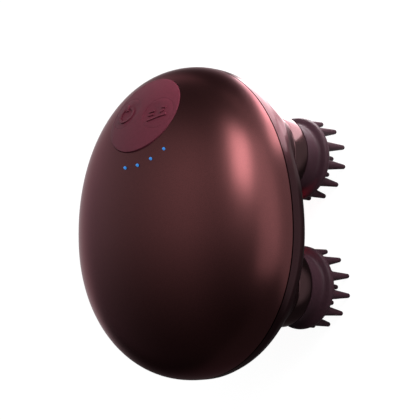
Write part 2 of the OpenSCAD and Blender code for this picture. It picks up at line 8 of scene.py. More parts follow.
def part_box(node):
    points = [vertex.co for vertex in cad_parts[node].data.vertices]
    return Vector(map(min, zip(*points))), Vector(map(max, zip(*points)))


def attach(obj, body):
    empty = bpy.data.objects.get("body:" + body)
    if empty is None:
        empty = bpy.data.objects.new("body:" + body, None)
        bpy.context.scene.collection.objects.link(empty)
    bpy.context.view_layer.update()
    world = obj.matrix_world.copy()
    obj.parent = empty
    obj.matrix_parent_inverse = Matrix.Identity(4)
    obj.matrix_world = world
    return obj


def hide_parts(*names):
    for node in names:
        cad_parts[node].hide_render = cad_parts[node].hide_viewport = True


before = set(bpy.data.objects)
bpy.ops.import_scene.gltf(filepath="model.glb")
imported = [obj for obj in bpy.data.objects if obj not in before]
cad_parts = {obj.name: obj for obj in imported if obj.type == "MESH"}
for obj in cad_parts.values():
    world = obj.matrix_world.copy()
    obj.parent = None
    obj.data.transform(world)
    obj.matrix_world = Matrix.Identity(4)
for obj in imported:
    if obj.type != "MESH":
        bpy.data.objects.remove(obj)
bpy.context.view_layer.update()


# ---------------------------------------------------------------------------
# Back shell
# The half of the housing behind the heads, moulded in ABS and sprayed a dark metallic bronze.
# Its shallow bowl swells into a collar round each hub, and three screws from this side hold
# it to the front shell.

MM = 0.001
HOUSING_WIDTH = 93 * MM
HOUSING_LENGTH = 110 * MM
WIDEST_Y = -4 * MM
WALL = 2 * MM
BACK_RIM_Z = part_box("seam_gasket")[0].z
BACK_DEPTH = 16.7 * MM
BACK_FULLNESS = 3.0
OUTLINE_FULLNESS = 2.1

HEAD_X = 21 * MM
HEAD_Y = 22.978 * MM
HEADS = {
    "upper_right": (HEAD_X, HEAD_Y),
    "upper_left": (-HEAD_X, HEAD_Y),
    "lower_right": (HEAD_X, -HEAD_Y),
    "lower_left": (-HEAD_X, -HEAD_Y),
}
POCKET_RADIUS = 14.9 * MM
POCKET_Z = 28.6 * MM
POCKET_FLOOR = 2 * MM
POCKET_WALL = 1.7 * MM
SHAFT_HOLE_RADIUS = 5.02 * MM
SHAFT_HOLE_TOP_Z = 32 * MM
# Heights and radii of a collar in millimetres, from its face up into the bowl
COLLAR = [(28.6, 15.1), (30.2, 15.4), (31.6, 15.9), (32.8, 16.6), (33.9, 17.6), (34.8, 18.9), (35.5, 20.4)]
# Between these heights the fold between the collars and the bowl is smoothed once more
COLLAR_FOLD_LOW = 31.8 * MM
COLLAR_FOLD_HIGH = 39.5 * MM
# Places of the three shell screws and the heights of their heads, in millimetres
SHELL_SCREWS = [(16.5, 38.5, 31.6), (-16.5, 38.5, 31.6), (0, -43.5, 32.4)]
SHELL_BOSS_RADIUS = 3 * MM
SHELL_PASSAGE_RADIUS = 1.35 * MM
COUNTERBORE_RADIUS = 2.6 * MM
GEARBOX_SCREWS = [(0, 20.5), (3.7, -17.3), (34, 0), (-34, 0)]
GEARBOX_BOSS_RADIUS = 3.2 * MM
GEARBOX_Z = 33.2 * MM
PILOT_RADIUS = 0.8 * MM
PILOT_DEPTH = 2.4 * MM
RECESS_RADIUS = 4 * MM
RECESS_BOSS_RADIUS = 4.9 * MM
RECESS_Z = 38.2 * MM
RECESS_FLOOR_Y = -51.6 * MM
RECESS_BOSS_Y = -50 * MM
CONTACT_HOLE_RADIUS = 0.92 * MM
CONTACT_X = 2.2 * MM
WINDOW_HOLE_RADIUS = 7.6 * MM
RIM_BAND_Z = 39.5 * MM
LIP_OUTER = 2.4 * MM
LIP_INNER = 3.3 * MM
LIP_LOW_Z = 42.7 * MM
LIP_TOP_Z = 45 * MM
# Tools that pass right through the back shell start or end here, clear of it
CLEAR_BELOW_Z = 20 * MM
CLEAR_ABOVE_Z = 50 * MM
CLEAR_END_Y = -60 * MM


def only(piece):
    """Selects one piece and nothing else."""
    bpy.ops.object.select_all(action="DESELECT")
    piece.select_set(True)
    bpy.context.view_layer.objects.active = piece


def settle(name):
    """Names the new piece and puts its place into its mesh."""
    piece = bpy.context.object
    only(piece)
    piece.name = name
    piece.data.name = name
    bpy.ops.object.transform_apply(location=True, rotation=True, scale=True)
    return piece


def pick(piece, wanted):
    """Selects, in edit mode, the corners whose place passes the test, and the faces between them."""
    bpy.ops.mesh.select_all(action="DESELECT")
    mesh = bmesh.from_edit_mesh(piece.data)
    for corner in mesh.verts:
        corner.select = wanted(corner.co)
    mesh.select_flush(True)
    bmesh.update_edit_mesh(piece.data)


def apply_modifier(piece, kind, **settings):
    """Adds a modifier with these settings and applies it."""
    only(piece)
    modifier = piece.modifiers.new("step", kind)
    for name, value in settings.items():
        setattr(modifier, name, value)
    bpy.ops.object.modifier_apply(modifier="step")


def cut(piece, tool, how="DIFFERENCE"):
    """Cuts the tool out of a piece, or joins it on, and throws the tool away."""
    apply_modifier(piece, "BOOLEAN", operation=how, solver="EXACT", object=tool)
    bpy.data.objects.remove(tool)


def gather(pieces, name="tools"):
    """Makes one object of several that stand clear of each other."""
    bpy.ops.object.select_all(action="DESELECT")
    for piece in pieces:
        piece.select_set(True)
    bpy.context.view_layer.objects.active = pieces[0]
    bpy.ops.object.join()
    pieces[0].name = name
    return pieces[0]


def rod(radius, low, high, place=(0, 0), sides=96):
    """A round bar along Z, from low to high."""
    bpy.ops.object.select_all(action="DESELECT")
    bpy.ops.mesh.primitive_cylinder_add(
        vertices=sides, radius=radius, depth=high - low, location=(place[0], place[1], (low + high) / 2)
    )
    return settle("rod")


def across(radius, low_y, high_y, x, z, sides=64):
    """A round bar along Y."""
    bpy.ops.object.select_all(action="DESELECT")
    bpy.ops.mesh.primitive_cylinder_add(
        vertices=sides, radius=radius, depth=high_y - low_y, location=(x, (low_y + high_y) / 2, z),
        rotation=(math.pi / 2, 0, 0)
    )
    return settle("bar")


def turn_to(piece, radius, profile, centre=(0, 0)):
    """Turns a bar of a radius on its axis: a loop at each height of the profile, brought to its radius."""
    only(piece)
    bpy.ops.object.mode_set(mode="EDIT")
    for height, _ in profile:
        bpy.ops.mesh.select_all(action="SELECT")
        bpy.ops.mesh.bisect(plane_co=(0, 0, height), plane_no=(0, 0, 1))
    for height, loop_radius in profile:
        pick(piece, lambda co: abs(co.z - height) < 1e-6)
        share = loop_radius / radius
        bpy.ops.transform.resize(value=(share, share, 1), center_override=(centre[0], centre[1], height))
    bpy.ops.object.mode_set(mode="OBJECT")


def half_egg(name, inset, rim_z, height, fullness, down=False, skirt=0.0):
    """Half of the egg-shaped housing, closed and flat at its rim, with a straight skirt past the rim."""
    bpy.ops.object.select_all(action="DESELECT")
    radius = HOUSING_WIDTH / 2 - inset
    bpy.ops.mesh.primitive_uv_sphere_add(
        segments=144, ring_count=72, radius=radius, location=(0, WIDEST_Y, rim_z)
    )
    half = settle(name)
    bpy.ops.object.mode_set(mode="EDIT")
    bpy.ops.mesh.select_all(action="SELECT")
    bpy.ops.mesh.bisect(
        plane_co=(0, 0, rim_z), plane_no=(0, 0, 1), use_fill=True, clear_outer=down, clear_inner=not down
    )
    bpy.ops.object.mode_set(mode="OBJECT")
    middle = Vector((0, WIDEST_Y, rim_z))
    for corner in half.data.vertices:
        x, y, z = (corner.co - middle) / radius
        flat = max(math.hypot(x, y), 1e-9)
        out = min(1.0, flat) ** (2 / fullness)
        x = math.copysign(abs(x / flat) ** (2 / OUTLINE_FULLNESS), x) * out
        y = math.copysign(abs(y / flat) ** (2 / OUTLINE_FULLNESS), y) * out
        z = math.copysign(min(1.0, abs(z)) ** (2 / fullness), z) if abs(z) > 1e-5 else 0.0
        reach = HOUSING_LENGTH / 2 - inset + math.copysign(WIDEST_Y, y)
        corner.co = middle + Vector((x * radius, y * reach, z * height))
    if skirt:
        only(half)
        bpy.ops.object.mode_set(mode="EDIT")
        pick(half, lambda co: abs(co.z - rim_z) < 1e-6)
        bpy.ops.mesh.extrude_region()
        bpy.ops.transform.translate(value=(0, 0, skirt if down else -skirt))
        bpy.ops.object.mode_set(mode="OBJECT")
    return half


def egg_band(name, outer_inset, inner_inset, low, high):
    """An upright band that follows the outline of the housing."""
    bands = []
    for inset, spare in ((outer_inset, 0), (inner_inset, 1 * MM)):
        band = rod(HOUSING_WIDTH / 2 - inset, low - spare, high + spare, (0, WIDEST_Y), 144)
        for corner in band.data.vertices:
            x, y = corner.co.x, corner.co.y - WIDEST_Y
            flat = math.hypot(x, y)
            reach = HOUSING_LENGTH / 2 - inset + math.copysign(WIDEST_Y, y)
            corner.co.x = math.copysign(abs(x / flat) ** (2 / OUTLINE_FULLNESS), x) * flat
            corner.co.y = math.copysign(abs(y / flat) ** (2 / OUTLINE_FULLNESS), y) * reach + WIDEST_Y
        bands.append(band)
    cut(bands[0], bands[1])
    bands[0].name = name
    return bands[0]


def smooth(piece, degrees=35):
    """Smooth shading, with creases where faces meet more steeply than this."""
    only(piece)
    bpy.ops.object.shade_smooth_by_angle(angle=math.radians(degrees))


back_shell = half_egg(
    "back_shell_painted", 0, BACK_RIM_Z, BACK_DEPTH, BACK_FULLNESS, down=True, skirt=3 * MM
)
for place in HEADS.values():
    collar = rod(COLLAR[0][1] * MM, COLLAR[0][0] * MM, COLLAR[-1][0] * MM, place)
    turn_to(collar, COLLAR[0][1] * MM, [(h * MM, r * MM) for h, r in COLLAR], place)
    cut(back_shell, collar, "UNION")
apply_modifier(back_shell, "REMESH", mode="VOXEL", voxel_size=0.7 * MM)
apply_modifier(back_shell, "SMOOTH", factor=0.5, iterations=10)
only(back_shell)
bpy.ops.object.mode_set(mode="EDIT")
bpy.ops.mesh.select_all(action="SELECT")
bpy.ops.mesh.bisect(plane_co=(0, 0, BACK_RIM_Z), plane_no=(0, 0, 1), use_fill=True, clear_outer=True)
pick(back_shell, lambda co: COLLAR_FOLD_LOW < co.z < COLLAR_FOLD_HIGH)
bpy.ops.mesh.vertices_smooth(factor=0.5, repeat=60)
bpy.ops.object.mode_set(mode="OBJECT")

hollow = half_egg("hollow", WALL, BACK_RIM_Z, BACK_DEPTH - WALL, BACK_FULLNESS, down=True, skirt=1 * MM)
for place in HEADS.values():
    cut(hollow, rod(POCKET_RADIUS + POCKET_WALL, POCKET_Z - 2 * MM, POCKET_Z + POCKET_FLOOR, place))
cut(hollow, gather(
    [rod(GEARBOX_BOSS_RADIUS, CLEAR_BELOW_Z, GEARBOX_Z, (x * MM, y * MM), 48) for x, y in GEARBOX_SCREWS]
    + [
        rod(SHELL_BOSS_RADIUS, CLEAR_BELOW_Z, BACK_RIM_Z + 0.2 * MM, (x * MM, y * MM), 48)
        for x, y, _ in SHELL_SCREWS
    ]
))
cut(hollow, across(RECESS_BOSS_RADIUS, CLEAR_END_Y, RECESS_BOSS_Y, 0, RECESS_Z))
cut(hollow, egg_band("rim_band", WALL - 1 * MM, LIP_INNER, RIM_BAND_Z, BACK_RIM_Z + 2 * MM))
cut(back_shell, hollow)
cut(back_shell, egg_band("lip", LIP_OUTER, LIP_INNER, LIP_LOW_Z, LIP_TOP_Z), "UNION")
cut(back_shell, gather(
    [rod(POCKET_RADIUS, CLEAR_BELOW_Z - 2 * MM, POCKET_Z, place, 160) for place in HEADS.values()]
    + [
        rod(SHELL_PASSAGE_RADIUS, CLEAR_BELOW_Z, CLEAR_ABOVE_Z, (x * MM, y * MM), 32)
        for x, y, _ in SHELL_SCREWS
    ]
    + [
        rod(PILOT_RADIUS, GEARBOX_Z - PILOT_DEPTH, CLEAR_ABOVE_Z, (x * MM, y * MM), 24)
        for x, y in GEARBOX_SCREWS
    ]
    + [across(RECESS_RADIUS, CLEAR_END_Y, RECESS_FLOOR_Y, 0, RECESS_Z)]
))
cut(back_shell, gather(
    [rod(SHAFT_HOLE_RADIUS, CLEAR_BELOW_Z, SHAFT_HOLE_TOP_Z, place, 64) for place in HEADS.values()]
    + [
        rod(COUNTERBORE_RADIUS, CLEAR_BELOW_Z, head_z * MM, (x * MM, y * MM), 64)
        for x, y, head_z in SHELL_SCREWS
    ]
    + [
        across(CONTACT_HOLE_RADIUS, CLEAR_END_Y, RECESS_BOSS_Y + 2 * MM, x, RECESS_Z, 32)
        for x in (-CONTACT_X, CONTACT_X)
    ]
    + [rod(WINDOW_HOLE_RADIUS, CLEAR_BELOW_Z, CLEAR_ABOVE_Z)]
))
smooth(back_shell)


def new_finish(name, color, metallic, roughness):
    """A new material and its shader."""
    material = bpy.data.materials.new(name)
    material.use_nodes = True
    shader = material.node_tree.nodes["Principled BSDF"]
    shader.inputs["Base Color"].default_value = (*color, 1)
    shader.inputs["Metallic"].default_value = metallic
    shader.inputs["Roughness"].default_value = roughness
    return material, shader


def mottle(material, shader, color, scale, depth):
    """Varies a colour a little over the surface with fine noise, by this share of it."""
    tree = material.node_tree
    place = tree.nodes.new("ShaderNodeTexCoord")
    noise = tree.nodes.new("ShaderNodeTexNoise")
    noise.inputs["Scale"].default_value = scale
    noise.inputs["Detail"].default_value = 6
    ramp = tree.nodes.new("ShaderNodeValToRGB")
    low = [max(0.0, c * (1 - depth)) for c in color]
    high = [min(1.0, c * (1 + depth)) for c in color]
    ramp.color_ramp.elements[0].position = 0.3
    ramp.color_ramp.elements[0].color = (*low, 1)
    ramp.color_ramp.elements[1].position = 0.7
    ramp.color_ramp.elements[1].color = (*high, 1)
    tree.links.new(place.outputs["Object"], noise.inputs["Vector"])
    tree.links.new(noise.outputs["Fac"], ramp.inputs["Fac"])
    tree.links.new(ramp.outputs["Color"], shader.inputs["Base Color"])


def texture_bump(material, shader, scale, height, kind="ShaderNodeTexNoise"):
    """Raises the surface by a fine texture of this height, in metres."""
    tree = material.node_tree
    place = tree.nodes.new("ShaderNodeTexCoord")
    texture = tree.nodes.new(kind)
    texture.inputs["Scale"].default_value = scale
    bump = tree.nodes.new("ShaderNodeBump")
    bump.inputs["Strength"].default_value = 1
    bump.inputs["Distance"].default_value = height
    tree.links.new(place.outputs["Object"], texture.inputs["Vector"])
    tree.links.new(texture.outputs[0], bump.inputs["Height"])
    tree.links.new(bump.outputs["Normal"], shader.inputs["Normal"])


def paint(piece, material):
    """Puts one material on a whole piece."""
    piece.data.materials.clear()
    piece.data.materials.append(material)


BACK_BRONZE = (0.022, 0.0075, 0.0095)
back_paint, shader = new_finish("dark_bronze_paint", BACK_BRONZE, 1.0, 0.34)
shader.inputs["Specular Tint"].default_value = (0.60, 0.52, 0.53, 1)
shader.inputs["Coat Weight"].default_value = 0.1
shader.inputs["Coat Roughness"].default_value = 0.15
mottle(back_paint, shader, BACK_BRONZE, 3500, 0.25)
texture_bump(back_paint, shader, 900, 0.004 * MM)
paint(back_shell, back_paint)
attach(back_shell, "housing")
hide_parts("rear_shell")


# ---------------------------------------------------------------------------
# Red light
# A round polycarbonate window in the middle of the back, held from inside by its flange, with a
# small board and three red LEDs above it. The light is on and tints the inner sides of the heads.


def dress(material, *nodes):
    """Gives solids from the frame their material."""
    for node in nodes:
        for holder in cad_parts[node].material_slots:
            holder.material = material


def glow(shader, color, strength):
    """Lets a material shine with its own light."""
    shader.inputs["Emission Color"].default_value = (*color, 1)
    shader.inputs["Emission Strength"].default_value = strength


RED_LENS = (0.72, 0.03, 0.04)
lens, shader = new_finish("red_lens", RED_LENS, 0.0, 0.25)
shader.inputs["Transmission Weight"].default_value = 0.3
# The lens glows by itself: painted light for the lit LEDs behind it.
glow(shader, (1.0, 0.008, 0.016), 3.0)
mottle(lens, shader, RED_LENS, 500, 0.1)
texture_bump(lens, shader, 400, 0.02 * MM, "ShaderNodeTexVoronoi")
dress(lens, "light_window")

BOARD_GREEN = (0.012, 0.085, 0.035)
board, shader = new_finish("circuit_board", BOARD_GREEN, 0.0, 0.35)
shader.inputs["Coat Weight"].default_value = 0.4
mottle(board, shader, BOARD_GREEN, 1800, 0.6)
texture_bump(board, shader, 1500, 0.02 * MM, "ShaderNodeTexVoronoi")
dress(board, "light_board", "charging_board", "control_board")

LED_RED = (0.7, 0.05, 0.05)
red_led, shader = new_finish("led_red", LED_RED, 0.0, 0.25)
glow(shader, (1.0, 0.01, 0.016), 6.0)
mottle(red_led, shader, LED_RED, 2500, 0.15)
texture_bump(red_led, shader, 3000, 0.01 * MM)
dress(red_led, "red_leds")


# ---------------------------------------------------------------------------
# Charging contacts
# Two round brass contacts, gold-plated, pressed into the floor of the recess in the lower end and
# soldered to the small board behind it.


def grain(material, shader, stretch, scale, height):
    """Fine lines left by a tool or a roller, run along one axis by a stretch of the noise."""
    tree = material.node_tree
    place = tree.nodes.new("ShaderNodeTexCoord")
    mapping = tree.nodes.new("ShaderNodeMapping")
    mapping.inputs["Scale"].default_value = stretch
    noise = tree.nodes.new("ShaderNodeTexNoise")
    noise.inputs["Scale"].default_value = scale
    noise.inputs["Detail"].default_value = 4
    bump = tree.nodes.new("ShaderNodeBump")
    bump.inputs["Strength"].default_value = 1
    bump.inputs["Distance"].default_value = height
    tree.links.new(place.outputs["Object"], mapping.inputs["Vector"])
    tree.links.new(mapping.outputs["Vector"], noise.inputs["Vector"])
    tree.links.new(noise.outputs["Fac"], bump.inputs["Height"])
    tree.links.new(bump.outputs["Normal"], shader.inputs["Normal"])


GOLD = (0.85, 0.60, 0.22)
contact_gold, shader = new_finish("contact_gold", GOLD, 1.0, 0.25)
mottle(contact_gold, shader, GOLD, 2500, 0.12)
texture_bump(contact_gold, shader, 4000, 0.004 * MM)
dress(contact_gold, "charging_contacts", "motor_pinion")


# ---------------------------------------------------------------------------
# Gearbox plates, screws, axles, bushings and seals
# Two grey moulded plates carry the gears between them on ground steel axles. Zinc-plated screws
# hold them, and each head shaft runs in a sintered brass bushing behind a black rubber ring.

GREY = (0.075, 0.075, 0.08)
grey_plastic, shader = new_finish("grey_plastic", GREY, 0.0, 0.5)
mottle(grey_plastic, shader, GREY, 900, 0.12)
texture_bump(grey_plastic, shader, 2500, 0.012 * MM)
dress(grey_plastic, "gearbox_base", "gearbox_cover", "battery_cradle")

STEEL = (0.50, 0.50, 0.51)
steel, shader = new_finish("steel", STEEL, 1.0, 0.3)
mottle(steel, shader, STEEL, 1500, 0.12)
grain(steel, shader, (1, 1, 12), 900, 0.006 * MM)
dress(
    steel, "shell_screws", "gearbox_screws", "board_screws", "motor_plate_screws", "motor_screws",
    "gear_axles", "motor_shaft"
)

BRASS = (0.62, 0.40, 0.15)
bushing_brass, shader = new_finish("sintered_brass", BRASS, 1.0, 0.5)
mottle(bushing_brass, shader, BRASS, 3000, 0.3)
texture_bump(bushing_brass, shader, 3500, 0.02 * MM)
dress(bushing_brass, "shaft_bushings")

RUBBER = (0.012, 0.011, 0.012)
rubber, shader = new_finish("black_rubber", RUBBER, 0.0, 0.7)
mottle(rubber, shader, RUBBER, 2000, 0.3)
texture_bump(rubber, shader, 3000, 0.01 * MM)
dress(rubber, "shaft_seals")


# ---------------------------------------------------------------------------
# Seam gasket
# A thin ring of dark brown rubber, laid round the lip of the back shell. It closes the seam
# between the two shells and shows as a fine line.

GASKET_BROWN = (0.07, 0.03, 0.033)
gasket_rubber, shader = new_finish("brown_rubber", GASKET_BROWN, 0.0, 0.7)
mottle(gasket_rubber, shader, GASKET_BROWN, 2000, 0.2)
texture_bump(gasket_rubber, shader, 3000, 0.01 * MM)
dress(gasket_rubber, "seam_gasket")


# ---------------------------------------------------------------------------
# Gears
# Moulded in natural acetal, ivory and a little translucent, and greased. The large idler takes
# the motor's speed down, and the drive gear turns the right pair of heads and the transfer gear,
# which turns the left pair the other way.

ACETAL = (0.72, 0.68, 0.56)
acetal, shader = new_finish("natural_acetal", ACETAL, 0.0, 0.38)
shader.inputs["Subsurface Weight"].default_value = 0.15
shader.inputs["Subsurface Scale"].default_value = 1 * MM
mottle(acetal, shader, ACETAL, 700, 0.08)
texture_bump(acetal, shader, 1800, 0.01 * MM)
dress(acetal, "idler_gear", "drive_gear", "drive_wheel", "transfer_gear")
for quarter in HEADS:
    dress(acetal, quarter + "_gear")


# ---------------------------------------------------------------------------
# Motor
# A small brushed motor: a drawn and plated steel can with two ferrite magnets, a wound armature
# on a ground shaft, and a black end cap. Two screws hold it to a pressed plate with three legs.

CAN = (0.55, 0.55, 0.57)
can_steel, shader = new_finish("plated_can", CAN, 1.0, 0.28)
mottle(can_steel, shader, CAN, 800, 0.1)
grain(can_steel, shader, (1, 1, 20), 700, 0.008 * MM)
dress(can_steel, "motor_can")

PLATE = (0.58, 0.58, 0.60)
plate_steel, shader = new_finish("pressed_plate", PLATE, 1.0, 0.42)
mottle(plate_steel, shader, PLATE, 1200, 0.15)
grain(plate_steel, shader, (14, 1, 1), 800, 0.01 * MM)
dress(plate_steel, "motor_plate")

FERRITE = (0.05, 0.05, 0.055)
ferrite, shader = new_finish("ferrite", FERRITE, 0.3, 0.55)
mottle(ferrite, shader, FERRITE, 2500, 0.35)
texture_bump(ferrite, shader, 2500, 0.02 * MM)
dress(ferrite, "motor_magnets")

WINDING = (0.42, 0.16, 0.06)
winding, shader = new_finish("wound_armature", WINDING, 0.8, 0.35)
mottle(winding, shader, WINDING, 1500, 0.25)
grain(winding, shader, (1, 1, 30), 1200, 0.05 * MM)
dress(winding, "motor_armature")

BLACK_PLASTIC = (0.02, 0.02, 0.022)
black_plastic, shader = new_finish("black_plastic", BLACK_PLASTIC, 0.0, 0.45)
mottle(black_plastic, shader, BLACK_PLASTIC, 1500, 0.25)
texture_bump(black_plastic, shader, 2200, 0.015 * MM)
dress(black_plastic, "motor_endcap", "tact_switches")


# ---------------------------------------------------------------------------
# Cell and strap
# A lithium cell in a shrunk blue sleeve lies across the housing in a grey cradle, and a strap of
# woven tape holds it down.

SLEEVE = (0.03, 0.10, 0.34)
sleeve, shader = new_finish("shrunk_sleeve", SLEEVE, 0.0, 0.25)
shader.inputs["Coat Weight"].default_value = 0.5
mottle(sleeve, shader, SLEEVE, 400, 0.1)
texture_bump(sleeve, shader, 350, 0.03 * MM)
dress(sleeve, "battery_cell")

TAPE = (0.60, 0.60, 0.55)
tape, shader = new_finish("woven_tape", TAPE, 0.0, 0.85)
mottle(tape, shader, TAPE, 1200, 0.15)
texture_bump(tape, shader, 1400, 0.08 * MM, "ShaderNodeTexChecker")
dress(tape, "battery_strap")


# ---------------------------------------------------------------------------
# Control board
# Under the pad sits a round board with two tact switches and four white LEDs, screwed to two
# posts of the front shell.

LED_WHITE = (0.75, 0.75, 0.66)
white_led, shader = new_finish("led_white", LED_WHITE, 0.0, 0.3)
glow(shader, (0.2, 0.5, 1.0), 1.0)
mottle(white_led, shader, LED_WHITE, 2500, 0.1)
texture_bump(white_led, shader, 3000, 0.01 * MM)
dress(white_led, "indicator_leds")


# ---------------------------------------------------------------------------
# Front shell
# The smooth dome that lies in the palm, moulded in ABS and sprayed in a satin metallic bronze
# under clear lacquer. It has a round tilted recess for the control pad and four small holes for
# the light pipes.

DOME_RIM_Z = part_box("seam_gasket")[1].z
DOME_HEIGHT = 32.5 * MM
DOME_FULLNESS = 2.06
# The pad's own axes: the origin lies in the middle of the pad, and Z comes straight out of it
PAD_PLACE = (0, 37 * MM, 67.25 * MM)
PAD_TILT = math.radians(-29.2)
PAD_FRAME = Matrix.Translation(PAD_PLACE) @ Matrix.Rotation(PAD_TILT, 4, "X")
PAD_CROWN = 57 * MM
PAD_PROUD = 0.45 * MM
PAD_THICKNESS = 1.8 * MM
PAD_CENTRE = (0, 0, PAD_PROUD - PAD_CROWN)
RING_RADIUS = 17.2 * MM
RING_Z = -5.2 * MM
RECESS_IN_DOME = 15.45 * MM
KEYS = {"power": (-8 * MM, 0.9 * MM), "mode": (7.9 * MM, -1.2 * MM)}
STEM_HOLE_RADIUS = 2.3 * MM
BOARD_POSTS = [(0, 10 * MM), (0, -10 * MM)]
BOARD_POST_RADIUS = 2.2 * MM
BOARD_Z = -10.2 * MM
BOARD_THICKNESS = 1.2 * MM
BOARD_PILOT_LENGTH = 7 * MM
SHELL_BOSS_Z = 43.3 * MM
SHELL_PILOT_RADIUS = 1.1 * MM
SHELL_PILOT_TOP_Z = 55 * MM
PIPE_CIRCLE = 20.7 * MM
PIPES = [
    (PIPE_CIRCLE * math.sin(math.radians(angle)), -PIPE_CIRCLE * math.cos(math.radians(angle)))
    for angle in (-5.1, 11.1, 27.3, 43.5)
]
PIPE_STEP_Z = -4.1 * MM
PIPE_HOLE_RADIUS = 0.72 * MM
PIPE_TIP_RADIUS = 0.47 * MM


def ball(radius, centre):
    """A sphere at a place, lying on its side, so that its poles stay out of what it cuts."""
    bpy.ops.object.select_all(action="DESELECT")
    bpy.ops.mesh.primitive_uv_sphere_add(
        segments=128, ring_count=96, radius=radius, location=centre, rotation=(1.5, 0.3, 0.2)
    )
    return settle("ball")


def onto_pad(piece):
    """Tilts a piece made round the origin into the place of the pad."""
    only(piece)
    piece.matrix_world = PAD_FRAME
    bpy.ops.object.transform_apply(location=True, rotation=True, scale=True)
    return piece


front_shell = half_egg("front_shell_painted", 0, DOME_RIM_Z, DOME_HEIGHT, DOME_FULLNESS)
hollow = half_egg("hollow", WALL, DOME_RIM_Z, DOME_HEIGHT - WALL, DOME_FULLNESS, skirt=1 * MM)
cut(hollow, onto_pad(rod(RING_RADIUS, RING_Z, 15 * MM, sides=128)))
cut(hollow, onto_pad(gather(
    [rod(BOARD_POST_RADIUS, BOARD_Z + BOARD_THICKNESS, 1 * MM, post, 32) for post in BOARD_POSTS]
)))
cut(hollow, gather([
    rod(SHELL_BOSS_RADIUS, SHELL_BOSS_Z, DOME_RIM_Z + DOME_HEIGHT, (x * MM, y * MM), 48)
    for x, y, _ in SHELL_SCREWS
]))
cut(front_shell, hollow)
recess = rod(RECESS_IN_DOME, RING_Z, 10 * MM, sides=192)
cut(recess, ball(PAD_CROWN - PAD_THICKNESS - 0.02 * MM, PAD_CENTRE))
cut(front_shell, onto_pad(recess))
cut(front_shell, onto_pad(gather(
    [rod(STEM_HOLE_RADIUS, -20 * MM, 5 * MM, key, 48) for key in KEYS.values()]
    + [rod(PIPE_HOLE_RADIUS, -20 * MM, PIPE_STEP_Z + 0.05 * MM, place, 32) for place in PIPES]
    + [rod(PILOT_RADIUS, BOARD_Z, BOARD_Z + BOARD_PILOT_LENGTH, post, 24) for post in BOARD_POSTS]
)))
cut(front_shell, onto_pad(gather(
    [rod(PIPE_TIP_RADIUS + 0.02 * MM, -6 * MM, 5 * MM, place, 32) for place in PIPES]
)))
cut(front_shell, gather([
    rod(SHELL_PILOT_RADIUS, SHELL_BOSS_Z - 0.3 * MM, SHELL_PILOT_TOP_Z, (x * MM, y * MM), 32)
    for x, y, _ in SHELL_SCREWS
]))
smooth(front_shell)

DOME_BRONZE = (0.064, 0.0162, 0.0172)
dome_paint, shader = new_finish("bronze_paint", DOME_BRONZE, 1.0, 0.32)
shader.inputs["Specular Tint"].default_value = (0.68, 0.48, 0.51, 1)
shader.inputs["Coat Weight"].default_value = 0.22
shader.inputs["Coat Roughness"].default_value = 0.35
mottle(dome_paint, shader, DOME_BRONZE, 4000, 0.22)
texture_bump(dome_paint, shader, 700, 0.003 * MM)
paint(front_shell, dome_paint)
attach(front_shell, "housing")
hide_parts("front_shell")


# ---------------------------------------------------------------------------
# Control pad and keys
# A thin domed disc of wine-red silicone, glued into the recess a little proud of the shell. Two
# dished keys of the same silicone stand in it, each with a raised sign for power or for mode.

PAD_RADIUS = 15.28 * MM
KEY_HOLE_RADIUS = 6.2 * MM
KEY_RADIUS = 6.15 * MM
KEY_THICKNESS = 1.1 * MM
DISH_RADIUS = 30 * MM
DISH_HEIGHT = 29.6 * MM
STEM_RADIUS = 2 * MM
STEM_FOOT_Z = -5.75 * MM
STEM_TOP_Z = -0.9 * MM
# The pad and the keys are cut from bars that reach this far to both sides of the pad's origin
BLANK_REACH = 6 * MM
SIGN_TURN = math.radians(14)
SIGN_HEIGHT = 0.45 * MM
POWER_RING_OUTER = 3.5 * MM
POWER_RING_INNER = 2.6 * MM
STROKE_WIDTH = 0.85 * MM


def round_edges(piece, width, degrees=40, segments=3):
    """Rounds every edge that is sharper than this."""
    apply_modifier(
        piece, "BEVEL", width=width, segments=segments, limit_method="ANGLE",
        angle_limit=math.radians(degrees)
    )


def bar(length, width, low, high, place, angle):
    """A small upright block, turned about Z."""
    bpy.ops.object.select_all(action="DESELECT")
    bpy.ops.mesh.primitive_cube_add(
        size=1, location=(place[0], place[1], (low + high) / 2), rotation=(0, 0, angle),
        scale=(length, width, high - low)
    )
    return settle("bar")


def on_key(key, x, y):
    """A point of a key's sign, in its own turned axes and in millimetres."""
    return (
        key[0] + (x * math.cos(SIGN_TURN) - y * math.sin(SIGN_TURN)) * MM,
        key[1] + (x * math.sin(SIGN_TURN) + y * math.cos(SIGN_TURN)) * MM,
    )


def power_sign(key):
    """An open ring with an upright bar in its gap."""
    middle = on_key(key, 0.2, -0.9)
    ring = rod(POWER_RING_OUTER, -1 * MM, 1 * MM, middle, 64)
    cut(ring, rod(POWER_RING_INNER, -2 * MM, 2 * MM, middle, 64))
    cut(ring, bar(2.6 * MM, 3 * MM, -2 * MM, 2 * MM, on_key(middle, 0, 3.3), SIGN_TURN))
    return gather([ring, bar(0.9 * MM, 2.7 * MM, -1 * MM, 1 * MM, on_key(middle, 0, 3.0), SIGN_TURN)])


def mode_sign(key):
    """Two short dashes on the left, two on the right, and a line under them."""
    # Middle and length of each stroke in millimetres, and its lean in radians
    strokes = [
        (-2.4, 1.4, 2.1, 0),
        (-2.7, -0.1, 1.9, 0),
        (2.6, 1.5, 1.6, -0.2),
        (2.0, 0.0, 1.7, 0.45),
        (-0.1, -2.0, 7.8, 0.06),
    ]
    return gather([
        bar(length * MM, STROKE_WIDTH, -1 * MM, 1 * MM, on_key(key, x, y), SIGN_TURN + lean)
        for x, y, length, lean in strokes
    ])


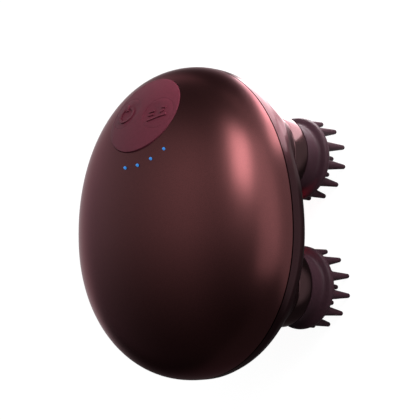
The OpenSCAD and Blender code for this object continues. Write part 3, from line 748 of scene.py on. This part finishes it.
def make_key(name, key, sign):
    """A silicone key: a piece of the domed sheet, dished on top, with a stem and a raised sign."""
    disc = rod(KEY_RADIUS, -BLANK_REACH, BLANK_REACH, key, 128)
    cut(disc, ball(PAD_CROWN, PAD_CENTRE), "INTERSECT")
    cut(disc, ball(PAD_CROWN - KEY_THICKNESS, PAD_CENTRE))
    cut(disc, ball(DISH_RADIUS, (key[0], key[1], DISH_HEIGHT)))
    round_edges(disc, 0.12 * MM)
    cut(sign, ball(PAD_CROWN + SIGN_HEIGHT, PAD_CENTRE), "INTERSECT")
    cut(sign, ball(DISH_RADIUS - SIGN_HEIGHT, (key[0], key[1], DISH_HEIGHT)))
    cut(disc, sign, "UNION")
    cut(disc, rod(STEM_RADIUS, STEM_FOOT_Z, STEM_TOP_Z, key, 48), "UNION")
    disc.name = name
    smooth(disc, 30)
    return onto_pad(disc)


pad = rod(PAD_RADIUS, -BLANK_REACH, BLANK_REACH, sides=192)
cut(pad, ball(PAD_CROWN, PAD_CENTRE), "INTERSECT")
cut(pad, ball(PAD_CROWN - PAD_THICKNESS, PAD_CENTRE))
cut(pad, gather(
    [rod(KEY_HOLE_RADIUS, -BLANK_REACH, BLANK_REACH, key, 128) for key in KEYS.values()]
))
round_edges(pad, 0.2 * MM)
pad.name = "pad_silicone_disc"
smooth(pad, 30)
onto_pad(pad)
power_key = make_key("power_key_silicone", KEYS["power"], power_sign(KEYS["power"]))
mode_key = make_key("mode_key_silicone", KEYS["mode"], mode_sign(KEYS["mode"]))

WINE = (0.092, 0.0150, 0.0265)
wine_silicone, shader = new_finish("wine_silicone", WINE, 0.0, 0.6)
shader.inputs["Specular IOR Level"].default_value = 0.15
mottle(wine_silicone, shader, WINE, 1200, 0.08)
texture_bump(wine_silicone, shader, 5000, 0.006 * MM)
for piece, body, node in (
    (pad, "housing", "control_pad"),
    (power_key, "power_key", "power_button"),
    (mode_key, "mode_key", "mode_button"),
):
    paint(piece, wine_silicone)
    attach(piece, body)
    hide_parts(node)


# ---------------------------------------------------------------------------
# Light pipes
# Four clear acrylic pins in an arc below the pad, pressed into the dome from inside. The lights
# under them are on, so their round ends shine blue.

PIPE_RADIUS = 0.7 * MM
PIPE_FLANGE_RADIUS = 1.2 * MM
PIPE_FOOT_Z = -7.9 * MM
PIPE_FLANGE_Z = -7.6 * MM
PIPE_FLANGE_HEIGHT = 1 * MM
PIPE_TOP_Z = -3.15 * MM

pipe = rod(PIPE_RADIUS, PIPE_FOOT_Z, PIPE_STEP_Z, sides=32)
cut(pipe, rod(PIPE_TIP_RADIUS, PIPE_STEP_Z - 0.5 * MM, PIPE_TOP_Z, sides=32), "UNION")
cut(pipe, rod(PIPE_FLANGE_RADIUS, PIPE_FLANGE_Z, PIPE_FLANGE_Z + PIPE_FLANGE_HEIGHT, sides=32), "UNION")
round_edges(pipe, 0.08 * MM)
pins = []
for place in PIPES:
    only(pipe)
    bpy.ops.object.duplicate()
    bpy.ops.transform.translate(value=(place[0], place[1], 0))
    pins.append(settle("pin"))
bpy.data.objects.remove(pipe)
pipes = onto_pad(gather(pins, "light_pipe_pins"))
smooth(pipes)

PIPE_BLUE = (0.01, 0.06, 0.20)
pipe_acrylic, shader = new_finish("light_pipe", PIPE_BLUE, 0.0, 0.15)
shader.inputs["Transmission Weight"].default_value = 0.2
shader.inputs["Specular IOR Level"].default_value = 0.2
glow(shader, (0.028, 0.17, 0.43), 1.0)
mottle(pipe_acrylic, shader, PIPE_BLUE, 1500, 0.08)
texture_bump(pipe_acrylic, shader, 2500, 0.004 * MM)
paint(pipes, pipe_acrylic)
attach(pipes, "housing")
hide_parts("light_pipes")


# ---------------------------------------------------------------------------
# Head hubs
# Each head turns on a barrel-shaped hub, moulded in ABS and coated in a polished bronze. The hub
# is pressed on the steel shaft, held by a screw, and carries the silicone on a spigot.

HUB_Z = 21.2 * MM
HUB_TOP_Z = 28.1 * MM
HUB_RADIUS = 14.4 * MM
# The barrel is widest at this height and bulges with this radius
HUB_WIDEST_Z = 24.25 * MM
HUB_BULGE = 40 * MM
SPIGOT_RADIUS = 8 * MM
SPIGOT_BORE_RADIUS = 5.5 * MM
SPIGOT_Z = 13.2 * MM
WEB_Z = 20.6 * MM
SHAFT_BORE_RADIUS = 2.52 * MM
SHAFT_BORE_Z = 23.15 * MM
HUB_SCREW_RADIUS = 1.3 * MM


def copy_to(piece, name, place):
    """A copy with a mesh of its own, moved from the axis to a head's place."""
    only(piece)
    bpy.ops.object.duplicate()
    bpy.ops.transform.translate(value=(place[0], place[1], 0))
    return settle(name)


hub = rod(HUB_RADIUS, HUB_Z, HUB_TOP_Z, sides=144)
barrel = []
for step in range(13):
    z = HUB_Z + (HUB_TOP_Z - HUB_Z) * step / 12
    barrel.append((z, HUB_RADIUS - HUB_BULGE + math.sqrt(HUB_BULGE ** 2 - (z - HUB_WIDEST_Z) ** 2)))
turn_to(hub, HUB_RADIUS, barrel)
round_edges(hub, 0.6 * MM, degrees=50, segments=5)
cut(hub, rod(SPIGOT_RADIUS, SPIGOT_Z, HUB_Z + 0.5 * MM), "UNION")
cut(hub, gather([
    rod(SPIGOT_BORE_RADIUS, SPIGOT_Z - 1 * MM, WEB_Z, sides=64),
    rod(SHAFT_BORE_RADIUS, SHAFT_BORE_Z, 30 * MM, sides=48),
]))
cut(hub, rod(HUB_SCREW_RADIUS, 10 * MM, 30 * MM, sides=32))
smooth(hub, 30)

HUB_BRONZE = (0.036, 0.0165, 0.0182)
hub_coat, shader = new_finish("polished_bronze", HUB_BRONZE, 1.0, 0.2)
shader.inputs["Specular Tint"].default_value = (0.60, 0.52, 0.53, 1)
shader.inputs["Coat Weight"].default_value = 0.12
shader.inputs["Coat Roughness"].default_value = 0.06
mottle(hub_coat, shader, HUB_BRONZE, 3500, 0.15)
texture_bump(hub_coat, shader, 500, 0.003 * MM)
paint(hub, hub_coat)
for quarter, place in HEADS.items():
    copy = copy_to(hub, quarter + "_hub_turned", place)
    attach(copy, quarter + "_head")
    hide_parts(quarter + "_hub")
    dress(steel, quarter + "_hub_screw", quarter + "_shaft")
bpy.data.objects.remove(hub)


# ---------------------------------------------------------------------------
# Silicone heads
# Each head is moulded in one piece of soft mauve-brown silicone and pulled over the hub's spigot:
# a waisted body, a beaded rim, and tapered fingers with round tips in two rings and one in the
# middle, leaning outwards.

HEAD_RADIUS = 14.3 * MM
HEAD_TOP_Z = 21.15 * MM
FACE_Z = 9.2 * MM
ROOT_Z = 9.5 * MM
WAIST_Z = 14.4 * MM
WAIST_RADIUS = 12.1 * MM
BEAD = 1.65 * MM
BEAD_TOP_Z = FACE_Z + 2 * BEAD
BEAD_CIRCLE = 13.15 * MM
SPIGOT_CLEARANCE = 0.05 * MM
TIP_RADIUS = 0.85 * MM
ROOT_RADIUS = 1.98 * MM
# Radius of a ring of fingers, how many, the first one's share of a step, how far they lean in
# degrees, and how much their roots flare
FINGER_RINGS = [(0, 1, 0, 0, 0.4 * MM), (7.2 * MM, 8, 0, 3, 0.4 * MM), (12.1 * MM, 12, 0.5, 8.6, 0)]


def head_radius_at(z):
    """Radius of the head's side at a height: the bead of the rim, the waist, the flare above."""
    if z < BEAD_TOP_Z:
        rise = (z - FACE_Z - BEAD) / BEAD
        return BEAD_CIRCLE + BEAD * math.sqrt(max(0.0, 1 - rise * rise))
    end_z, end_radius = (BEAD_TOP_Z, BEAD_CIRCLE) if z < WAIST_Z else (HEAD_TOP_Z, HEAD_RADIUS)
    way = (z - WAIST_Z) / (end_z - WAIST_Z)
    return end_radius - (end_radius - WAIST_RADIUS) * math.sqrt(max(0.0, 1 - way * way))


def finger(lean, flare):
    """One finger down the axis from z = 0 to its round tip, flared where it leaves the face."""
    reach = (ROOT_Z - TIP_RADIUS) / math.cos(math.radians(lean))
    end = -reach - TIP_RADIUS
    blank = rod(ROOT_RADIUS, end, 0, sides=32)
    profile = [(end + 0.005 * MM, 0.09 * MM)]
    for turn in (20, 40, 60, 80):
        down = -reach - TIP_RADIUS * math.cos(math.radians(turn))
        profile.append((down, TIP_RADIUS * math.sin(math.radians(turn))))
    for step in range(9):
        z = -reach * (1 - step / 10)
        profile.append((z, TIP_RADIUS + (ROOT_RADIUS - TIP_RADIUS) * step / 10))
    profile += [
        (-0.8 * MM, ROOT_RADIUS), (-0.5 * MM, ROOT_RADIUS + 0.35 * flare), (-0.3 * MM, ROOT_RADIUS + flare)
    ]
    turn_to(blank, ROOT_RADIUS, sorted(profile))
    only(blank)
    bpy.ops.object.mode_set(mode="EDIT")
    pick(blank, lambda co: co.z < end + 0.003 * MM)
    bpy.ops.transform.resize(value=(0.05, 0.05, 1), center_override=(0, 0, end))
    bpy.ops.object.mode_set(mode="OBJECT")
    return blank


head = rod(HEAD_RADIUS, FACE_Z, HEAD_TOP_Z, sides=144)
levels = [FACE_Z + 2 * BEAD * step / 10 for step in range(10)]
levels += [BEAD_TOP_Z + (HEAD_TOP_Z - BEAD_TOP_Z) * step / 20 for step in range(21)]
turn_to(head, HEAD_RADIUS, [(z, head_radius_at(z)) for z in levels])
cut(head, rod(SPIGOT_RADIUS + SPIGOT_CLEARANCE, SPIGOT_Z - 0.1 * MM, 25 * MM))
fingers = []
for circle, count, first, lean, flare in FINGER_RINGS:
    blank = finger(lean, flare)
    for step in range(count):
        only(blank)
        bpy.ops.object.duplicate()
        angle = (step + first) * 2 * math.pi / count
        twin = bpy.context.object
        twin.location = (circle * math.cos(angle), circle * math.sin(angle), ROOT_Z)
        twin.rotation_euler = (0, -math.radians(lean), angle)
        fingers.append(settle("finger"))
    bpy.data.objects.remove(blank)
cut(head, gather(fingers), "UNION")
smooth(head, 40)

MAUVE = (0.026, 0.0108, 0.0153)
head_silicone, shader = new_finish("mauve_silicone", MAUVE, 0.0, 0.45)
shader.inputs["Specular IOR Level"].default_value = 0.07
mottle(head_silicone, shader, MAUVE, 900, 0.1)
texture_bump(head_silicone, shader, 4500, 0.006 * MM)
paint(head, head_silicone)
for quarter, place in HEADS.items():
    copy = copy_to(head, quarter + "_silicone", place)
    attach(copy, quarter + "_head")
    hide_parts(quarter + "_massage_head")
bpy.data.objects.remove(head)


# ---------------------------------------------------------------------------
# Floor, camera and light
# The massager stands on its fingers on a white floor that runs out of sight, seen from above its
# right side, in a light tent. One panel gives the dome its upright highlight and one lights the
# right side, and small lamps near the floor light the shoulder, the upper hub and the fingers.

FLOOR_GLOW = 0.95
FLOOR_TONE = 0.14


def combined(operation, one, other):
    """Two values of the material in hand, taken together."""
    step = tree.nodes.new("ShaderNodeMath")
    step.operation = operation
    tree.links.new(one, step.inputs[0])
    tree.links.new(other, step.inputs[1])
    return step.outputs[0]


bpy.ops.object.select_all(action="DESELECT")
bpy.ops.mesh.primitive_plane_add(size=12, location=(0, 0, -0.05 * MM))
floor = settle("floor")
white, shader = new_finish("white_floor", (0.85, 0.85, 0.85), 0.0, 0.9)
shader.inputs["Specular IOR Level"].default_value = 0.0
tree = white.node_tree
rays = tree.nodes.new("ShaderNodeLightPath")
seen = combined("MAXIMUM", rays.outputs["Is Camera Ray"], rays.outputs["Is Glossy Ray"])
seen_or_passed = combined("MAXIMUM", seen, rays.outputs["Is Transmission Ray"])
bright = tree.nodes.new("ShaderNodeEmission")
bright.inputs["Color"].default_value = (1, 1, 1, 1)
bright.inputs["Strength"].default_value = FLOOR_GLOW
dim = tree.nodes.new("ShaderNodeBsdfDiffuse")
dim.inputs["Color"].default_value = (FLOOR_TONE, FLOOR_TONE, FLOOR_TONE, 1)
lit = tree.nodes.new("ShaderNodeAddShader")
tree.links.new(bright.outputs[0], lit.inputs[0])
tree.links.new(dim.outputs[0], lit.inputs[1])
choice = tree.nodes.new("ShaderNodeMixShader")
tree.links.new(seen_or_passed, choice.inputs["Fac"])
tree.links.new(shader.outputs[0], choice.inputs[1])
tree.links.new(lit.outputs[0], choice.inputs[2])
tree.links.new(choice.outputs[0], tree.nodes["Material Output"].inputs["Surface"])
paint(floor, white)

# The camera stands in line with the target and aims a little beside it, lengths in millimetres
TARGET = Vector((0, -4, 43.2)) * MM
TURN = math.radians(43.73)
RISE = math.radians(-6.16)
ROLL = math.radians(-1.57)
CAMERA_DISTANCE = 752.3
AIM_RIGHT = 5.8
AIM_UP = 8.6
LENS = 183.8
back = Vector((math.sin(TURN) * math.cos(RISE), math.sin(RISE), math.cos(TURN) * math.cos(RISE)))
level = Vector((math.cos(TURN), 0, -math.sin(TURN)))
rise = back.cross(level)
to_right = level * math.cos(ROLL) + rise * math.sin(ROLL)
to_top = rise * math.cos(ROLL) - level * math.sin(ROLL)
eye = TARGET + back * CAMERA_DISTANCE * MM
aim = TARGET + to_right * AIM_RIGHT * MM + to_top * AIM_UP * MM
looking = (eye - aim).normalized()
sideways = to_top.cross(looking).normalized()
upright = looking.cross(sideways)
bpy.ops.object.select_all(action="DESELECT")
bpy.ops.object.camera_add(location=eye)
camera = bpy.context.object
camera.rotation_euler = Matrix((sideways, upright, looking)).transposed().to_euler()
camera.data.lens = LENS
camera.data.sensor_width = 36
camera.data.clip_start = 0.01
bpy.context.scene.camera = camera


def lamp(name, place, facing, along, width, length, power):
    """A soft lamp that shines against the direction it faces, with its length along another."""
    bpy.ops.object.select_all(action="DESELECT")
    bpy.ops.object.light_add(type="AREA", location=place)
    light = bpy.context.object
    light.name = name
    light.data.shape = "RECTANGLE"
    light.data.size = width
    light.data.size_y = length
    light.data.energy = power
    across_lamp = Vector(along).cross(facing).normalized()
    light.rotation_euler = Matrix((across_lamp, facing.cross(across_lamp), facing)).transposed().to_euler()
    light.visible_camera = False
    return light


# Widths and lengths of the lamps are in metres, and their power in watts
KEY_FACING = Vector((0.72, 0.58, 0.37)).normalized()
KEY_DISTANCE = 0.5
lamp(
    "key_panel", TARGET + KEY_FACING * KEY_DISTANCE, KEY_FACING, (-0.38, 0.66, -0.39),
    width=0.17, length=0.27, power=2.1
)
lamp(
    "side_panel", Vector((170, 50, 43)) * MM, Vector((1, 0, 0)), (0, 1, 0),
    width=0.085, length=0.26, power=0.112
)
SHOULDER_FACING = Vector((0, 25, -40)).normalized()
SHOULDER_LAMP_Z = 1.5
# Place in millimetres, width, length and power
SHOULDER_LAMPS = [
    (36, 48, 0.014, 0.055, 0.032), (26, 63, 0.032, 0.05, 0.096), (68, 60, 0.034, 0.036, 0.034)
]
for x, y, width, length, power in SHOULDER_LAMPS:
    place = Vector((x, y, SHOULDER_LAMP_Z)) * MM
    shoulder = lamp("shoulder_lamp", place, SHOULDER_FACING, (1, 0, 0), width, length, power)
    shoulder.visible_diffuse = False
strip = lamp(
    "low_strip", Vector((45, 135, 9)) * MM, Vector((0, 1, 0)), (1, 0, 0),
    width=0.016, length=0.08, power=0.27
)
strip.visible_glossy = False

# One red spot for each head, from beside the window, stands for the window's glow on the silicone
for x, y in HEADS.values():
    start = Vector((0.15 * x, 0, 24 * MM))
    lit_side = Vector((1.25 * x, 0.42 * y, 17 * MM))
    turn = (start - lit_side).to_track_quat("Z", "Y").to_euler()
    bpy.ops.object.select_all(action="DESELECT")
    bpy.ops.object.light_add(type="SPOT", location=start, rotation=turn)
    shine = bpy.context.object
    shine.name = "red_shine"
    shine.data.spot_size = math.radians(50)
    shine.data.spot_blend = 0.7
    shine.data.shadow_soft_size = 2 * MM
    shine.data.color = (1, 0.01, 0.05)
    shine.data.energy = 0.055

world = bpy.data.worlds.new("studio")
bpy.context.scene.world = world
world.use_nodes = True
world.node_tree.nodes["Background"].inputs["Color"].default_value = (1, 1, 1, 1)
world.node_tree.nodes["Background"].inputs["Strength"].default_value = 1.0

# A light tent of cloth, which glows most over the pad's end and is dark at the other end
TENT_RADIUS = 1.2
TENT_FULL_GLOW = 1.6
SIDE_SHARE = 0.7
# The glow along Y, and the share of it and its tint along X, each place as a share of the radius
TENT_STEPS = [
    (-1.0, 0.06), (-0.75, 0.10), (-0.5, 0.2), (-0.25, 0.4), (0.0, 0.75), (0.2, 1.15),
    (0.4, 1.35), (0.6, 1.0), (0.75, 0.34), (0.9, 0.16), (1.0, 0.16)
]
TENT_SIDES = [
    (-1.0, (0.72, 0.90, 0.95)), (-0.85, (0.54, 0.63, 0.66)), (-0.6, (0.44, 0.45, 0.46)),
    (-0.15, (0.75, 0.75, 0.75)), (0.05, (0.84, 0.84, 0.84)), (0.27, (0.64, 0.64, 0.64)),
    (0.5, (0.46, 0.46, 0.46)), (0.75, (0.56, 0.56, 0.56))
]
# Left of this place the steps move towards the pad's end, by up to this share of the radius
SHIFT_START = -0.85
FULL_SHIFT = -0.14


def graded(place, steps):
    """Colours along an axis, each at a share of the tent's radius."""
    share = tree.nodes.new("ShaderNodeMapRange")
    share.inputs["From Min"].default_value = -TENT_RADIUS
    share.inputs["From Max"].default_value = TENT_RADIUS
    tree.links.new(place, share.inputs["Value"])
    ramp = tree.nodes.new("ShaderNodeValToRGB")
    tree.links.new(share.outputs["Result"], ramp.inputs["Fac"])
    while len(ramp.color_ramp.elements) < len(steps):
        ramp.color_ramp.elements.new(0.5)
    for element, (share_there, color) in zip(ramp.color_ramp.elements, steps):
        element.position = (share_there + 1) / 2
        element.color = (*color, 1)
    return ramp.outputs["Color"]


bpy.ops.object.select_all(action="DESELECT")
bpy.ops.mesh.primitive_uv_sphere_add(segments=48, ring_count=24, radius=TENT_RADIUS)
tent = settle("light_tent")
bpy.ops.object.mode_set(mode="EDIT")
bpy.ops.mesh.select_all(action="SELECT")
bpy.ops.mesh.bisect(plane_co=(0, 0, 0), plane_no=(0, 0, 1), clear_inner=True)
bpy.ops.object.mode_set(mode="OBJECT")
cloth = bpy.data.materials.new("tent_cloth")
cloth.use_nodes = True
tree = cloth.node_tree
tree.nodes.remove(tree.nodes["Principled BSDF"])
place = tree.nodes.new("ShaderNodeTexCoord")
parts = tree.nodes.new("ShaderNodeSeparateXYZ")
tree.links.new(place.outputs["Object"], parts.inputs[0])
shift = tree.nodes.new("ShaderNodeMapRange")
shift.interpolation_type = "SMOOTHSTEP"
shift.inputs["From Min"].default_value = -TENT_RADIUS
shift.inputs["From Max"].default_value = SHIFT_START * TENT_RADIUS
shift.inputs["To Min"].default_value = FULL_SHIFT * TENT_RADIUS
shift.inputs["To Max"].default_value = 0
tree.links.new(parts.outputs["X"], shift.inputs["Value"])
shifted_y = combined("ADD", parts.outputs["Y"], shift.outputs["Result"])
shaded = tree.nodes.new("ShaderNodeMix")
shaded.data_type = "RGBA"
shaded.blend_type = "MULTIPLY"
shaded.inputs[0].default_value = 1
greys = [(share_there, (glow_there / TENT_FULL_GLOW,) * 3) for share_there, glow_there in TENT_STEPS]
tree.links.new(graded(shifted_y, greys), shaded.inputs[6])
tree.links.new(graded(parts.outputs["X"], TENT_SIDES), shaded.inputs[7])
tent_light = tree.nodes.new("ShaderNodeEmission")
tent_light.inputs["Strength"].default_value = TENT_FULL_GLOW / SIDE_SHARE
tree.links.new(shaded.outputs[2], tent_light.inputs["Color"])
tree.links.new(tent_light.outputs[0], tree.nodes["Material Output"].inputs["Surface"])
paint(tent, cloth)
tent.visible_camera = False
tent.visible_shadow = False

# A dark sheet on the floor that shows only in what is glossy, so it paints dark reflections into the
# shells and hubs.
# It lies past both ends of the massager and under its right side, fades out in between, and is darkest at
# the lower left.
REFLECTION_GLOW = 0.13
REFLECTION_DARKEST = 0.03
bpy.ops.object.select_all(action="DESELECT")
bpy.ops.mesh.primitive_plane_add(size=11, location=(0, 0, 0.2 * MM))
reflection_sheet = settle("painted_reflection_sheet")
reflection_paint = bpy.data.materials.new("painted_dark_reflection")
reflection_paint.use_nodes = True
tree = reflection_paint.node_tree
tree.nodes.remove(tree.nodes["Principled BSDF"])
place = tree.nodes.new("ShaderNodeTexCoord")
parts = tree.nodes.new("ShaderNodeSeparateXYZ")
tree.links.new(place.outputs["Object"], parts.inputs[0])


def fade(axis, clear, full):
    """How dense the painted reflection sheet is along an axis, from where it is clear to where it is full,
    in metres.
    """
    density = tree.nodes.new("ShaderNodeMapRange")
    density.interpolation_type = "SMOOTHSTEP"
    low, high = min(clear, full), max(clear, full)
    density.inputs["From Min"].default_value = low
    density.inputs["From Max"].default_value = high
    density.inputs["To Min"].default_value = 1 if full == low else 0
    density.inputs["To Max"].default_value = 0 if full == low else 1
    tree.links.new(parts.outputs[axis], density.inputs["Value"])
    return density.outputs["Result"]


low_edge = combined("MULTIPLY", fade("Y", -0.042, -0.066), fade("X", -0.26, -0.08))
low_end = combined("MAXIMUM", low_edge, fade("Y", -0.06, -0.10))
high_end = combined("MULTIPLY", fade("Y", 0.065, 0.13), fade("X", 0.14, 0.02))
high_end = combined("MULTIPLY", high_end, fade("X", -0.16, -0.06))
# Under the right side of the body the sheet paints the body's shadow on the floor, as the glossy parts see
# it.
painted_body_shadow = combined("MULTIPLY", fade("X", 0.058, 0.046), fade("Y", 0.028, 0.012))
painted_body_shadow = combined("MULTIPLY", painted_body_shadow, fade("X", -0.07, -0.03))
low_left = combined("MULTIPLY", fade("X", -0.02, -0.12), fade("Y", -0.06, -0.12))
clear = tree.nodes.new("ShaderNodeBsdfTransparent")
# A dim glow for the painted dark reflection, and a darker one for the lower left.
dark = tree.nodes.new("ShaderNodeEmission")
dark.inputs["Strength"].default_value = REFLECTION_GLOW
black = tree.nodes.new("ShaderNodeEmission")
black.inputs["Strength"].default_value = REFLECTION_DARKEST
reflection_tone = tree.nodes.new("ShaderNodeMixShader")
tree.links.new(low_left, reflection_tone.inputs["Fac"])
tree.links.new(dark.outputs[0], reflection_tone.inputs[1])
tree.links.new(black.outputs[0], reflection_tone.inputs[2])
blend = tree.nodes.new("ShaderNodeMixShader")
covered = combined("MAXIMUM", painted_body_shadow, combined("MAXIMUM", low_end, high_end))
tree.links.new(covered, blend.inputs["Fac"])
tree.links.new(clear.outputs[0], blend.inputs[1])
tree.links.new(reflection_tone.outputs[0], blend.inputs[2])
tree.links.new(blend.outputs[0], tree.nodes["Material Output"].inputs["Surface"])
paint(reflection_sheet, reflection_paint)
# Hidden from the camera, from diffuse light and from shadows, the sheet only paints reflections.
for look in ("visible_camera", "visible_diffuse", "visible_transmission", "visible_shadow"):
    setattr(reflection_sheet, look, False)

bpy.context.scene.view_settings.view_transform = "Standard"


# ---------------------------------------------------------------------------
# The end
# The view layer is brought up to date.

bpy.context.view_layer.update()
